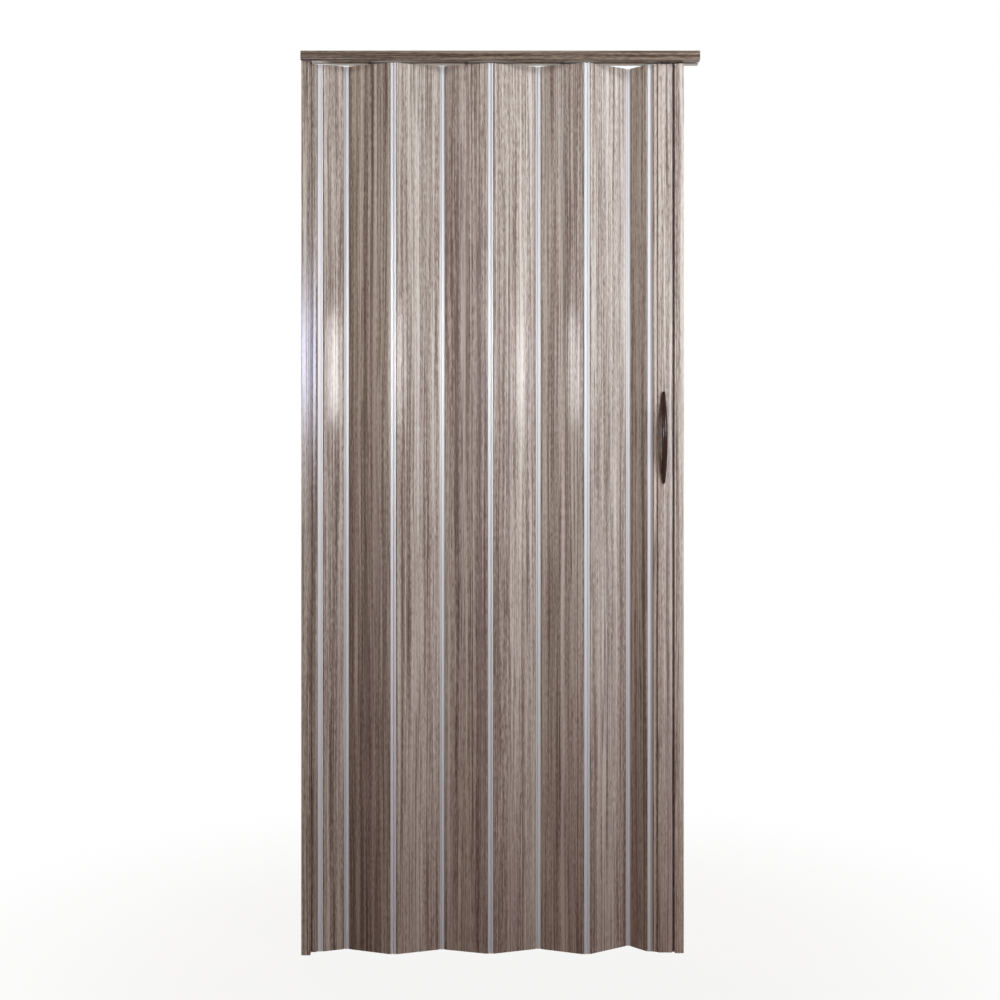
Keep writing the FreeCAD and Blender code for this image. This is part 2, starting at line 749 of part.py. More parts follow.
def make_carriage(number, x):
    """Block between the rollers, with a round neck through the slot that tapers to the panel."""
    body = new_body(f"carriage_{number}")
    sketch = new_sketch(body, "block", lift=carriage_bottom)
    long = cell.carriageLength / 2
    draw(sketch, box_corners(-long, long, -carriage_half, carriage_half))
    block = pad(body, sketch, carriage_top - carriage_bottom)
    upright = carriage_top.value - carriage_bottom.value
    round_edges(body, block, cell.carriageRound, lambda e: abs(e.BoundBox.ZLength - upright) < 1e-6)
    neck_half = new_sketch(body, "neck", "XZ_Plane")
    straight = track_underside - cell.hubStraight
    draw(neck_half, [
        Corner(0, hub_tip),
        Corner(cell.hubTipDiameter / 2, hub_tip),
        Corner(hub_radius, straight),
        Corner(hub_radius, carriage_bottom + cell.carriageFloor),
        Corner(0, carriage_bottom + cell.carriageFloor),
    ])
    turn(body, neck_half)
    bore = new_sketch(body, "axle_hole", "XZ_Plane")
    draw_circle(bore, ZERO, axle_z, cell.axleDiameter + cell.runClearance * 2)
    cut_through(body, bore)
    socket = new_sketch(body, "pivot_hole", lift=hub_tip)
    draw_circle(socket, ZERO, ZERO, pin_hole)
    cut_down(body, socket, pivot_top - hub_tip, reverse=True)
    place(body, x, ZERO, ZERO)


def make_wheels(number, x):
    """A pair of rollers with a recessed outer face, turned about the axle."""
    body = new_body(f"wheels_{number}")
    body.AllowCompound = True
    sketch = new_sketch(body, "section", "YZ_Plane")
    rim, edge, hub = cell.wheelDiameter / 2, cell.wheelChamfer, cell.wheelHubDiameter / 2
    bore = cell.axleDiameter / 2 + cell.runClearance
    dish = wheel_outer - cell.wheelDish
    draw(sketch, [
        Corner(wheel_inner, bore),
        Corner(wheel_outer, bore),
        Corner(wheel_outer, hub),
        Corner(dish, hub),
        Corner(dish, rim - edge * 2),
        Corner(wheel_outer, rim - edge * 2),
        Corner(wheel_outer, rim - edge),
        Corner(wheel_outer - edge, rim),
        Corner(wheel_inner + edge, rim),
        Corner(wheel_inner, rim - edge),
    ])
    wheel = turn(body, sketch, "H_Axis")
    pair = body.newObject("PartDesign::Mirrored", f"{body.Name}_pair")
    pair.Originals = [wheel]
    pair.MirrorPlane = (next(f for f in body.Origin.OriginFeatures if f.Role == "XZ_Plane"), [""])
    body.Tip = pair
    place(body, x, ZERO, axle_z)


def make_axle(number, x):
    axle = doc.addObject("Part::Cylinder", f"axle_{number}")
    axle.Label = f"axle_{number}"
    half = wheel_outer + cell.axleProud
    axle.setExpression("Radius", (cell.axleDiameter / 2).text)
    axle.setExpression("Height", (half * 2).text)
    axle.Placement.Rotation = FreeCAD.Rotation(FreeCAD.Vector(1, 0, 0), -90)
    for side, size in (("x", x), ("y", -half), ("z", axle_z)):
        axle.setExpression(f"Placement.Base.{side}", size.text)


def make_pivot(number, x):
    """Headed pin that hangs in the carriage's neck and carries the plug on its head."""
    body = new_body(f"pivot_{number}")
    sketch = new_sketch(body, "half", "XZ_Plane")
    pin, head = cell.pivotDiameter / 2, cell.pivotHeadDiameter / 2
    seat = plug_bottom - cell.pivotHeadGap
    draw(sketch, [
        Corner(0, seat - cell.pivotHeadHeight),
        Corner(head, seat - cell.pivotHeadHeight),
        Corner(head, seat),
        Corner(pin, seat),
        Corner(pin, pivot_top - cell.runClearance),
        Corner(0, pivot_top - cell.runClearance),
    ])
    turn(body, sketch)
    place(body, x, ZERO, ZERO)


def make_plug(number, x, wide, thick, turned=ZERO):
    """Insert in the top of a hollow cell, bored for the pivot."""
    body = new_body(f"plug_{number}")
    sketch = new_sketch(body, "block", lift=plug_bottom)
    long, half = wide / 2 - cell.plugClearance, thick / 2 - cell.plugClearance
    draw(sketch, box_corners(-long, long, -half, half))
    block = pad(body, sketch, cell.plugDepth)
    doc.recompute()
    foot = plug_bottom.value
    names = [
        f"Edge{n}" for n, edge in enumerate(block.Shape.Edges, start=1)
        if edge.BoundBox.ZMax < foot + 1e-6 and edge.BoundBox.YLength > edge.BoundBox.XLength
    ]
    lead_in = body.newObject("PartDesign::Chamfer", f"{block.Name}_lead_in")
    lead_in.Base = (block, names)
    lead_in.setExpression("Size", cell.plugChamfer.text)
    hole = new_sketch(body, "pivot_hole", lift=plug_bottom)
    draw_circle(hole, ZERO, ZERO, pin_hole)
    cut_through(body, hole)
    place(body, x, ZERO, ZERO, turned)


def make_hanger(number, x, plug):
    make_carriage(number, x)
    make_axle(number, x)
    make_wheels(number, x)
    make_pivot(number, x)
    make_plug(number, x, *plug)


def make_handle(label, front):
    """Bow handle, drawn as its side view and trimmed to its front view. Its seat is at y = 0."""
    body = new_body(label)
    length, reach, tip = cell.handleLength / 2, cell.handleReach, cell.handleTipHeight
    inner, foot = reach - cell.handleThickness, cell.handleLength / 2 - cell.handleFootLength
    rise, swell = reach - tip, (cell.handleWidth - cell.handleTipWidth) / 2
    outer_radius = (length * length + rise * rise) / (rise * 2)
    inner_radius = (foot * foot + inner * inner) / (inner * 2)
    side_radius = (length * length + swell * swell) / (swell * 2)
    side = new_sketch(body, "side_view", "YZ_Plane")
    draw(side, [
        Corner(0, -length),
        Corner(0, -foot, (inner_radius - inner, ZERO, inner_radius, -1)),
        Corner(0, foot),
        Corner(0, length),
        Corner(-tip, length, (outer_radius - reach, ZERO, outer_radius, 1)),
        Corner(-tip, -length),
    ])
    pad(body, side, cell.handleWidth * 2, both_ways=True)
    view = new_sketch(body, "front_view", "XZ_Plane")
    wide, end, waist = cell.handleWidth * 2, cell.handleTipWidth / 2, cell.handleWidth / 2
    draw(view, box_corners(-wide, wide, -length * 2, length * 2))
    draw(view, [
        Corner(end, -length, (waist - side_radius, ZERO, side_radius, 1)),
        Corner(end, length),
        Corner(-end, length, (side_radius - waist, ZERO, side_radius, 1)),
        Corner(-end, -length),
    ])
    bow = cut_through(body, view)
    long_edge = foot.value / 2
    round_edges(body, bow, cell.handleRound, lambda e: e.Length > long_edge)
    holes = new_sketch(body, "screw_holes", "XZ_Plane")
    shank = cell.screwDiameter + (cell.runClearance if front else cell.screwClearance) * 2
    for way in (-1, 1):
        draw_circle(holes, ZERO, screw_drop * way, shank)
    if front:
        cut_down(body, holes, cell.screwGrip, reverse=True)
    else:
        cut_through(body, holes)
        sinks = new_sketch(body, "screw_sinks", "XZ_Plane", lift=cell.screwSeat)
        for way in (-1, 1):
            sink = cell.screwHeadDiameter + cell.screwClearance * 2
            draw_circle(sinks, ZERO, screw_drop * way, sink)
        cut_down(body, sinks, cell.handleReach, reverse=True)
    face = cell.leadStileThickness / 2
    place(body, handle_x, -face if front else face, handle_z, formula(0 if front else 180))


def make_handle_screws():
    """Two screws from the rear handle's feet through the stile into the front handle."""
    body = new_body("handle_screws")
    body.AllowCompound = True
    face = cell.leadStileThickness / 2
    seat = face + cell.screwSeat
    sketch = new_sketch(body, "half", "XY_Plane", lift=-screw_drop)
    shank, head = cell.screwDiameter / 2, cell.screwHeadDiameter / 2
    draw(sketch, [
        Corner(0, -face - cell.screwGrip),
        Corner(shank, -face - cell.screwGrip),
        Corner(shank, seat),
        Corner(head, seat),
        Corner(head, seat + cell.screwHeadHeight),
        Corner(0, seat + cell.screwHeadHeight),
    ])
    screw = turn(body, sketch)
    pair = body.newObject("PartDesign::Mirrored", f"{body.Name}_pair")
    pair.Originals = [screw]
    pair.MirrorPlane = (next(f for f in body.Origin.OriginFeatures if f.Role == "XY_Plane"), [""])
    body.Tip = pair
    place(body, handle_x, ZERO, handle_z)


make_track()
make_wall_channel()
make_fixed_stile()
make_end_strip(1, hinge_place(1)[0] - bead_spacing / 2)
for hinge in range(2, PANEL_COUNT + 1):
    make_clip(hinge, "left")
    make_clip(hinge, "right")
make_end_strip(PANEL_COUNT + 1, hinge_place(PANEL_COUNT + 1)[0] + bead_spacing / 2)
for panel in range(1, PANEL_COUNT + 1):
    make_panel(panel)
make_lead_stile()
make_lead_channel()

panel_cell = cell_width(cell.panelWidth, cell.panelCells)
panel_inside = cell.panelThickness - cell.panelWall * 2
for order, panel in enumerate(HANGER_PANELS, start=1):
    hang_x = hinge_place(panel)[0] + panel_run(panel) / 2
    make_hanger(order, hang_x, (panel_cell, panel_inside, panel_turn(panel)))
for order in range(2):
    hang_x = lead_bead_x + lead_cell_start + lead_cell_width / 2 + lead_cell_pitch * order
    make_hanger(len(HANGER_PANELS) + 1 + order, hang_x, (lead_cell_width, lead_inside * 2))

make_handle("handle_front", front=True)
make_handle("handle_rear", front=False)
make_handle_screws()

doc.recompute()
for thing in doc.Objects:
    if {"Invalid", "Error"} & set(thing.State):
        raise RuntimeError(f"{thing.Label} could not be built")
sub_parts = [thing for thing in doc.Objects if thing.TypeId in ("PartDesign::Body", "Part::Cylinder")]
for sub_part in sub_parts:
    if sub_part.Shape.isNull() or not sub_part.Shape.isValid():
        raise RuntimeError(f"{sub_part.Label} has no valid shape")
os.makedirs("parts", exist_ok=True)
for sub_part in sub_parts:
    sub_part.Shape.exportStep(f"parts/{sub_part.Label}.step")
print(len(sub_parts), "sub-parts")
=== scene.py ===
import json
import math

import bpy
from mathutils import Matrix, Vector


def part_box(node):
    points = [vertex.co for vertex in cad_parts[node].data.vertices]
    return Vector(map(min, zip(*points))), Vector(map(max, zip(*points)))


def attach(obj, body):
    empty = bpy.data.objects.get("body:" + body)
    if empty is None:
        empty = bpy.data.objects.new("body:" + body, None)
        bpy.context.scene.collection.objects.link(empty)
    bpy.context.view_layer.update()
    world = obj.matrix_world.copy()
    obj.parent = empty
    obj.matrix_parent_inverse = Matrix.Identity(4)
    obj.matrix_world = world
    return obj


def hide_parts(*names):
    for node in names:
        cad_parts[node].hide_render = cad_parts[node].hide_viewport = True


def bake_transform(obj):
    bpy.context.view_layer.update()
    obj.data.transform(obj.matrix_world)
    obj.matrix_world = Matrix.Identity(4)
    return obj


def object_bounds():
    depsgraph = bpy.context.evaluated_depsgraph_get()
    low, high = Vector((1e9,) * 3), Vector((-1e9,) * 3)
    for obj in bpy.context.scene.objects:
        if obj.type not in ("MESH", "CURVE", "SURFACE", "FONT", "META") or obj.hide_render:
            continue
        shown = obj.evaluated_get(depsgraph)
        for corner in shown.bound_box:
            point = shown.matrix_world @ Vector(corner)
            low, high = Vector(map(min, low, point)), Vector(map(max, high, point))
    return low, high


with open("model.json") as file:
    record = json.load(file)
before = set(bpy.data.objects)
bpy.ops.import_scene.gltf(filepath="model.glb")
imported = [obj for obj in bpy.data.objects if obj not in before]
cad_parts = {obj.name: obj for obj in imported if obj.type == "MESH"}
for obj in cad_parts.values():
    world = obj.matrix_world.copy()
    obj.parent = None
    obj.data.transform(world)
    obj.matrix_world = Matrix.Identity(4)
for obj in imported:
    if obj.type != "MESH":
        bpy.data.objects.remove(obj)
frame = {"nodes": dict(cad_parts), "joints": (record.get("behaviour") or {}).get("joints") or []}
cadBox = [list(corner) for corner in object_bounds()]
nodes = frame["nodes"]
panelCount = 8
quarterTurn, halfTurn, fullTurn = math.pi / 2, math.pi, 2 * math.pi
midNoise = 0.5
print("frame loaded:", len(nodes), "nodes")


def addObject(name, data):
    made = bpy.data.objects.new(name, data)
    bpy.context.scene.collection.objects.link(made)
    return made


# a plain mesh of an object with its modifiers
def modifiedMesh(thing):
    graph = bpy.context.evaluated_depsgraph_get()
    return bpy.data.meshes.new_from_object(thing.evaluated_get(graph))


# a socket of a node tree, so that shader maths reads as plain arithmetic
class Wire:
    def __init__(self, bench, socket):
        self.bench = bench
        self.socket = socket

    def maths(self, operation, *values):
        return self.bench.node("ShaderNodeMath", dict(enumerate(values)), operation=operation)

    def highest(self, other):
        return self.maths("MAXIMUM", self, other)

    def __add__(self, other):
        return self.maths("ADD", self, other)

    def __sub__(self, other):
        return self.maths("SUBTRACT", self, other)

    def __rsub__(self, other):
        return self.maths("SUBTRACT", other, self)

    def __mul__(self, other):
        return self.maths("MULTIPLY", self, other)

    def __truediv__(self, other):
        return self.maths("DIVIDE", self, other)

    def __gt__(self, other):
        return self.maths("GREATER_THAN", self, other)

    def __abs__(self):
        return self.maths("ABSOLUTE", self)


# a node tree being wired
class Bench:
    def __init__(self, tree):
        self.tree = tree

    def node(self, kind, sockets=None, out=0, **settings):
        made = self.tree.nodes.new(kind)
        for name, setting in settings.items():
            setattr(made, name, setting)
        for name, value in (sockets or {}).items():
            self.feed(made.inputs[name], value)
        return Wire(self, made.outputs[out]) if made.outputs else None

    def feed(self, socket, value):
        if isinstance(value, Wire):
            self.tree.links.new(value.socket, socket)
        else:
            socket.default_value = value


# a surface finish on the principled shader
class Finish(Bench):
    shiftSkew = (1, 0.7, 1.3)

    def __init__(self, name, **constants):
        self.material = bpy.data.materials.new(name)
        self.material.use_nodes = True
        super().__init__(self.material.node_tree)
        self.shader = self.tree.nodes["Principled BSDF"]
        self.set(**constants)

    def set(self, **sockets):
        for name, value in sockets.items():
            self.feed(self.shader.inputs[name.replace("_", " ")], value)

    def here(self):
        return self.node("ShaderNodeTexCoord", out="Object")

    def spot(self, place=(0, 0, 0), turn=(0, 0, 0), scale=(1, 1, 1)):
        return self.node("ShaderNodeMapping", {
            "Vector": self.here(), "Location": place, "Rotation": turn, "Scale": scale},
            vector_type="TEXTURE")

    def part(self, vector, axis):
        return self.node("ShaderNodeSeparateXYZ", {0: vector}, out=axis)

    def stretch(self, vector, scale, shift=0.0):
        shifts = [shift * skew for skew in self.shiftSkew]
        return self.node("ShaderNodeVectorMath", {0: vector, 1: scale, 2: shifts},
                         operation="MULTIPLY_ADD")

    # look: frequencies along the three axes, shift, detail and roughness
    def noise(self, vector, look, seed=0.0):
        scale, shift, detail, roughness = look
        return self.node("ShaderNodeTexNoise", {
            "Vector": self.stretch(vector, scale, seed + shift), "Scale": 1.0,
            "Detail": detail, "Roughness": roughness})

    def between(self, value, low, high):
        return self.node("ShaderNodeMapRange", {
            "Value": value, "From Min": low, "From Max": high}, interpolation_type="SMOOTHSTEP")

    def ramp(self, value, stops):
        made = self.node("ShaderNodeValToRGB", {0: value})
        elements = made.socket.node.color_ramp.elements
        while len(elements) < len(stops):
            elements.new(1)
        for element, (position, colour) in zip(elements, stops):
            element.position = position
            element.color = (*colour, 1)
        return made

    def mix(self, share, first, second, blend="MIX"):
        colours = [c if isinstance(c, Wire) else (*c, 1) for c in (first, second)]
        return self.node("ShaderNodeMix", {0: share, 6: colours[0], 7: colours[1]}, out=2,
                         data_type="RGBA", blend_type=blend)

    def emboss(self, height, strength, distance):
        self.set(Normal=self.node("ShaderNodeBump", {
            "Height": height, "Strength": strength, "Distance": distance}))


# printed wood film over pale extruded plastic
filmColours = {
    "pore": (0.122, 0.087, 0.074),
    "dark": (0.216, 0.170, 0.149),
    "middle": (0.378, 0.331, 0.296),
    "light": (0.540, 0.508, 0.466),
    "plum": (0.297, 0.242, 0.240),
    "moss": (0.342, 0.320, 0.268),
    "raw": (0.62, 0.56, 0.48),          # cut ends
    "lip": (0.36, 0.33, 0.28),          # underside of the track's rear lip
    # painted shade: the track's inside is coloured near black for the shadow within it
    "slot": (0.022, 0.018, 0.016),      # inside the track
}
filmGrain = {
    "bands": ((55, 20, 0.5), 11.3, 2, 0.5),
    "streaks": ((170, 50, 0.7), 23.7, 4, 0.66),
    "hairs": ((340, 80, 3.2), 37.9, 3, 0.6),
    "fibres": ((520, 200, 70), 44.1, 2, 0.5),
    "vein": ((100, 40, 0.6), 51.2, 3, 0.55),
    "hue": ((75, 30, 0.9), 67.8, 2, 0.5),
}
filmLook = {
    "specular": 0.09,
    "sway": ((7, 7, 1.4), 3.1, 2, 0.5),
    "drift": 0.009,                     # how far the sway carries the grain
    "shares": {"bands": 0.65, "streaks": 0.80, "hairs": 0.72, "fibres": 0.53},
    "stops": {"pore": 0.26, "dark": 0.39, "middle": 0.53, "light": 0.72},
    "tints": {"plum": (0.52, 0.70, 0.45), "moss": (0.48, 0.30, 0.30)},
    "lineEdge": (0.004, 0.024),
    "lineShare": 0.7,
    "endFacing": 0.9,
    "downFacing": 0.8,
    "roughness": 0.10,
    "roughened": {"streaks": 0.14, "fibres": 0.10, "ends": 0.2},
    "height": 0.5,
    "relief": (0.25, 0.00012),
}


# tone lightens it; faces that look down are lips below the depth under, else the track's inside,
# painted near black as its shade
def woodFilm(name, place, turn, seed, scale=(1, 1, 1), endAxis="Z",
             tone=0.0, contrast=1.0, stain=None, under=None):
    finish = Finish(name, Specular_IOR_Level=filmLook["specular"])
    spot = finish.spot(place, turn, scale)
    sway = finish.noise(spot, filmLook["sway"], seed) - midNoise
    drift = finish.node("ShaderNodeCombineXYZ", {0: sway * filmLook["drift"]})
    grain = finish.node("ShaderNodeVectorMath", {0: spot, 1: drift}, operation="ADD")
    layers = {layer: finish.noise(grain, look, seed) for layer, look in filmGrain.items()}
    lines = 1 - finish.between(abs(layers["vein"] - midNoise), *filmLook["lineEdge"])

    shares = filmLook["shares"]
    first, *others = (layers[layer] * share for layer, share in shares.items())
    even = sum(shares.values()) * midNoise
    shade = (sum(others, first) - even) * contrast + (midNoise + tone)
    film = finish.ramp(shade, [
        (stop, filmColours[colour]) for colour, stop in filmLook["stops"].items()])
    for tint, (low, high, share) in filmLook["tints"].items():
        tinted = finish.between(layers["hue"], low, high) * share
        film = finish.mix(tinted, film, filmColours[tint])
    film = finish.mix(lines * filmLook["lineShare"], film, filmColours["pore"])
    if stain:
        film = finish.mix(1.0, film, stain, "MULTIPLY")

    facing = finish.node("ShaderNodeNewGeometry", out="Normal")
    ends = abs(finish.part(facing, endAxis)) > filmLook["endFacing"]
    colour = finish.mix(ends, film, filmColours["raw"])
    if under:
        here = finish.here()
        behind = finish.part(here, "Y") > 0.0
        low = finish.part(here, "Z") * -1 > under
        down = finish.part(facing, "Z") * -1 > filmLook["downFacing"]
        colour = finish.mix(down * low * behind, colour, filmColours["lip"])
        # painted shade: down-facing faces inside the track are coloured near black as their
        # shadow
        colour = finish.mix(down * (1 - low), colour, filmColours["slot"])

    rough, streaks, fibres = filmLook["roughened"], layers["streaks"], layers["fibres"]
    dull = streaks * rough["streaks"] + fibres * rough["fibres"] + ends * rough["ends"]
    finish.set(Base_Color=colour, Roughness=dull + filmLook["roughness"])
    height = (streaks + fibres - lines) * filmLook["height"]
    finish.emboss(height, *filmLook["relief"])
    return finish.material


# soft strips
stripLook = {
    "gloss": {"Specular_IOR_Level": 1.0, "Coat_Weight": 1.0, "Coat_IOR": 1.8,
              "Coat_Roughness": 0.9},
    "drawn": ((900, 900, 3), 4.0, 3, 0.5),
    "cloud": ((20, 20, 5), 9.0, 3, 0.5),
    "drawnShare": 0.6,
    "stops": [(0.30, (0.445, 0.445, 0.452)), (0.65, (0.515, 0.515, 0.522))],
    "streaks": ((170, 50, 0.9), 23.7, 4, 0.66),
    # film cover on the last strip, in dark tones only: painted shade beside the lead stile
    "filmAndShadeStops": [(0.36, filmColours["pore"]), (0.62, filmColours["dark"])],
    "filmFrom": 0.3385,                 # where it begins on the last strip
    "filmEdge": 0.0003,
    "roughness": (0.14, 0.62),
    "relief": (0.1, 0.00005),
}


# the film covers it right of filmFrom, painted dark as shade along the lead stile
def stripPlastic(name, filmFrom=None):
    finish = Finish(name, **stripLook["gloss"])
    spot = finish.spot()
    drawn, cloud = (finish.noise(spot, stripLook[layer]) for layer in ("drawn", "cloud"))
    share = stripLook["drawnShare"]
    colour = finish.ramp(drawn * share + cloud * (1 - share), stripLook["stops"])
    if filmFrom:
        film = finish.ramp(finish.noise(spot, stripLook["streaks"]), stripLook["filmAndShadeStops"])
        edge = stripLook["filmEdge"]
        filmAndShade = finish.between(finish.part(spot, "X"), filmFrom - edge, filmFrom + edge)
        # painted shade: the film-covered edge is coloured dark for the shadow beside the lead
        # stile
        colour = finish.mix(filmAndShade, colour, film)
    spread, least = stripLook["roughness"]
    finish.set(Base_Color=colour, Roughness=drawn * spread + least)
    finish.emboss(drawn, *stripLook["relief"])
    return finish.material


# plain finishes: a cloudy colour, with grit in the relief
plainLook = {
    "dark_gloss": {
        "constants": {"Specular_IOR_Level": 0.14},
        "cloud": ((60, 60, 22), 2.0, 4, 0.5),
        "grit": ((420, 420, 420), 6.0, 2, 0.5),
        "stops": [(0.35, (0.013, 0.0040, 0.0034)), (0.65, (0.034, 0.0115, 0.0090))],
        "dulledBy": "cloud",
        "roughness": (0.10, 0.10),
        "relief": (0.12, 0.0001),
    },
    "black_nylon": {
        "constants": {"Specular_IOR_Level": 0.4},
        "cloud": ((90, 90, 90), 1.0, 3, 0.5),
        "grit": ((2600, 2600, 2600), 5.0, 2, 0.5),
        "stops": [(0.3, (0.010, 0.010, 0.011)), (0.7, (0.026, 0.026, 0.027))],
        "dulledBy": "grit",
        "roughness": (0.2, 0.42),
        "relief": (0.3, 0.0001),
    },
    "roller_acetal": {
        "constants": {"Specular_IOR_Level": 0.5},
        "cloud": ((150, 150, 150), 3.0, 3, 0.5),
        "grit": ((60, 3200, 60), 8.0, 2, 0.5),
        "stops": [(0.3, (0.60, 0.59, 0.55)), (0.7, (0.72, 0.71, 0.68))],
        "dulledBy": "grit",
        "roughness": (0.2, 0.28),
        "relief": (0.25, 0.00006),
    },
    "zinc_steel": {
        "constants": {"Metallic": 1.0},
        "cloud": ((420, 420, 420), 7.0, 4, 0.5),
        "grit": ((300, 4000, 4000), 2.0, 2, 0.5),
        "stops": [(0.3, (0.46, 0.46, 0.47)), (0.7, (0.66, 0.66, 0.67))],
        "dulledBy": "grit",
        "roughness": (0.22, 0.24),
        "relief": (0.15, 0.00005),
    },
}


def plainFinish(name):
    look = plainLook[name]
    finish = Finish(name, **look["constants"])
    spot = finish.spot()
    layers = {layer: finish.noise(spot, look[layer]) for layer in ("cloud", "grit")}
    spread, least = look["roughness"]
    finish.set(Base_Color=finish.ramp(layers["cloud"], look["stops"]),
               Roughness=layers[look["dulledBy"]] * spread + least)
    finish.emboss(layers["grit"], *look["relief"])
    return finish.material


# hinge axes, left to right
hinges = {}
for joint in frame["joints"]:
    if joint["name"] == "fold":
        hinges[1] = Vector(joint["pos_m"][:2])
    elif joint["name"] == "lead_hinge":
        hinges[panelCount + 1] = Vector(joint["pos_m"][:2])
    elif joint["name"].startswith("panel_"):
        hinges[int(joint["name"].split("_")[1])] = Vector(joint["pos_m"][:2])

strip = {
    "reach": 0.0047,        # bead to the fold line
    "side": 0.0036,         # panel's middle plane to the fold line
    "wall": 0.0025,         # outer radius of a clip
    "bore": 0.0016,
    "mouth": 0.0006,        # half of the clip's opening
    "soft": 0.0021,         # radius of the soft middle
    "web": 0.0012,          # half of the web beside it
    "bend": 0.0014,         # half of the width that bends
    "wallSteps": 18,
    "boreSteps": 24,
    "softSteps": 16,
}
strip["run"] = math.sqrt(strip["reach"] ** 2 - strip["side"] ** 2)
strip["gape"] = math.asin(strip["mouth"] / strip["bore"])
lamella = {
    "width": 0.106,
    "thickness": 0.007,
    "shoulder": 0.0029,     # bead to the panel's edge
    "round": 0.0014,
    "bead": 0.0015,
    "neck": 0.0005,
    "face": 0.001,
    "edge": 0.0012,
    "rib": 0.0009,
    "cells": 5,
    "halfCells": 2,
    "roundSteps": 6,
    "beadSteps": 20,
    "seed": 1.9,
    "seedStep": 5.37,
    # painted light: the last panel's film is lightened for the extra light that reaches it
    # beside the lead stile
    "lastPanelPaintedLight": 0.08,
}
leafLow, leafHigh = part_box("panel_3")[0].z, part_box("panel_3")[1].z
tilt = math.atan2(strip["side"], lamella["width"] / 2 + strip["run"])


def isHalf(panel):
    return panel in (1, panelCount)


# how far a panel turns from the track
def panelTurn(panel):
    line = hinges[panel + 1] - hinges[panel]
    return math.atan2(line.y, line.x) + (tilt if panel % 2 else -tilt)


def panelWidth(panel):
    return lamella["width"] / (2 if isHalf(panel) else 1)


def alongPanel(panel, x, y=0.0):
    return Matrix.Rotation(panelTurn(panel), 2) @ Vector((x, y))


def nearBead(panel):
    if panel == 1:
        return hinges[1]
    side = -strip["side"] if panel % 2 else strip["side"]
    return hinges[panel] + alongPanel(panel, strip["run"], side)


def farBead(panel):
    return nearBead(panel) + alongPanel(panel, panelWidth(panel))


def heading(start, stop):
    return math.atan2(stop.y - start.y, stop.x - start.x)


def arc(centre, radius, start, stop, count):
    angles = [start + (stop - start) * step / count for step in range(count + 1)]
    return [Vector((centre[0] + radius * math.cos(angle), centre[1] + radius * math.sin(angle)))
            for angle in angles]


# tree that makes an extrusion from its section
extrusionInputs = {
    "Section": "Object", "Cells": "Int", "First Cell": "Float", "Cell Pitch": "Float",
    "Cell Width": "Float", "Cell Height": "Float", "Length": "Float", "Place": "Vector",
    "Turn": "Float", "Finish": "Material",
}
extrusionEdges = {"weld": 1e-6, "crease": math.radians(32)}


def joined(bench, *parts):
    made = bench.node("GeometryNodeJoinGeometry")
    for part in parts:
        bench.feed(made.socket.node.inputs[0], part)
    return made


def extrusionTree():
    tree = bpy.data.node_groups.new("extrusion", "GeometryNodeTree")
    bench = Bench(tree)
    tree.interface.new_socket("Geometry", in_out="OUTPUT", socket_type="NodeSocketGeometry")
    sockets = {}
    for name, kind in extrusionInputs.items():
        sockets[name] = tree.interface.new_socket(
            name, in_out="INPUT", socket_type="NodeSocket" + kind).identifier
    given = {name: bench.node("NodeGroupInput", out=name) for name in sockets}

    outline = bench.node("GeometryNodeObjectInfo", {"Object": given["Section"]}, out="Geometry")
    hole = bench.node("GeometryNodeCurvePrimitiveQuadrilateral", {
        "Width": given["Cell Width"], "Height": given["Cell Height"]})
    first = bench.node("ShaderNodeCombineXYZ", {0: given["First Cell"]})
    pitch = bench.node("ShaderNodeCombineXYZ", {0: given["Cell Pitch"]})
    row = bench.node("GeometryNodeMeshLine", {
        "Count": given["Cells"], "Start Location": first, "Offset": pitch}, mode="OFFSET")
    holes = bench.node("GeometryNodeInstanceOnPoints", {"Points": row, "Instance": hole})
    holes = bench.node("GeometryNodeRealizeInstances", {"Geometry": holes})
    face = bench.node("GeometryNodeFillCurve", {"Curve": joined(bench, outline, holes)})

    rise = bench.node("ShaderNodeCombineXYZ", {2: given["Length"]})
    raised = bench.node("GeometryNodeExtrudeMesh", {
        "Mesh": face, "Offset": rise, "Offset Scale": 1.0, "Individual": False}, mode="FACES")
    foot = bench.node("GeometryNodeFlipFaces", {"Mesh": face})
    solid = bench.node("GeometryNodeMergeByDistance", {
        "Geometry": joined(bench, raised, foot), "Distance": extrusionEdges["weld"]})
    spin = bench.node("ShaderNodeCombineXYZ", {2: given["Turn"]})
    solid = bench.node("GeometryNodeTransform", {
        "Geometry": solid, "Translation": given["Place"], "Rotation": spin})

    solid = bench.node("GeometryNodeSetShadeSmooth", {
        "Geometry": solid, "Shade Smooth": True}, domain="FACE")
    crease = bench.node("GeometryNodeInputMeshEdgeAngle") > extrusionEdges["crease"]
    solid = bench.node("GeometryNodeSetShadeSmooth", {
        "Geometry": solid, "Selection": crease, "Shade Smooth": False}, domain="EDGE")
    solid = bench.node("GeometryNodeRealizeInstances", {"Geometry": solid})
    solid = bench.node("GeometryNodeSetMaterial", {
        "Geometry": solid, "Material": given["Finish"]})
    bench.node("NodeGroupOutput", {0: solid})
    return tree, sockets


# the finished object is a plain mesh at the origin
def extrude(name, outline, sizes):
    curve = bpy.data.curves.new(name + ".section", "CURVE")
    curve.dimensions = "3D"
    spline = curve.splines.new("POLY")
    spline.points.add(len(outline) - 1)
    for point, corner in zip(spline.points, outline):
        point.co = (corner.x, corner.y, 0, 1)
    spline.use_cyclic_u = True
    section = addObject(name + ".section", curve)
    blank = addObject(name + ".blank", bpy.data.meshes.new(name + ".blank"))
    press = blank.modifiers.new("extrusion", "NODES")
    press.node_group = extrusion
    for label, value in {**sizes, "Section": section}.items():
        press[extrusionSockets[label]] = value
    mesh = modifiedMesh(blank)
    blank.modifiers.remove(press)
    for thing in (section, blank):
        bpy.data.objects.remove(thing)
    mesh.name = name
    return addObject(name, mesh)


extrusion, extrusionSockets = extrusionTree()
print("extrusion tree:", len(extrusion.nodes), "nodes")


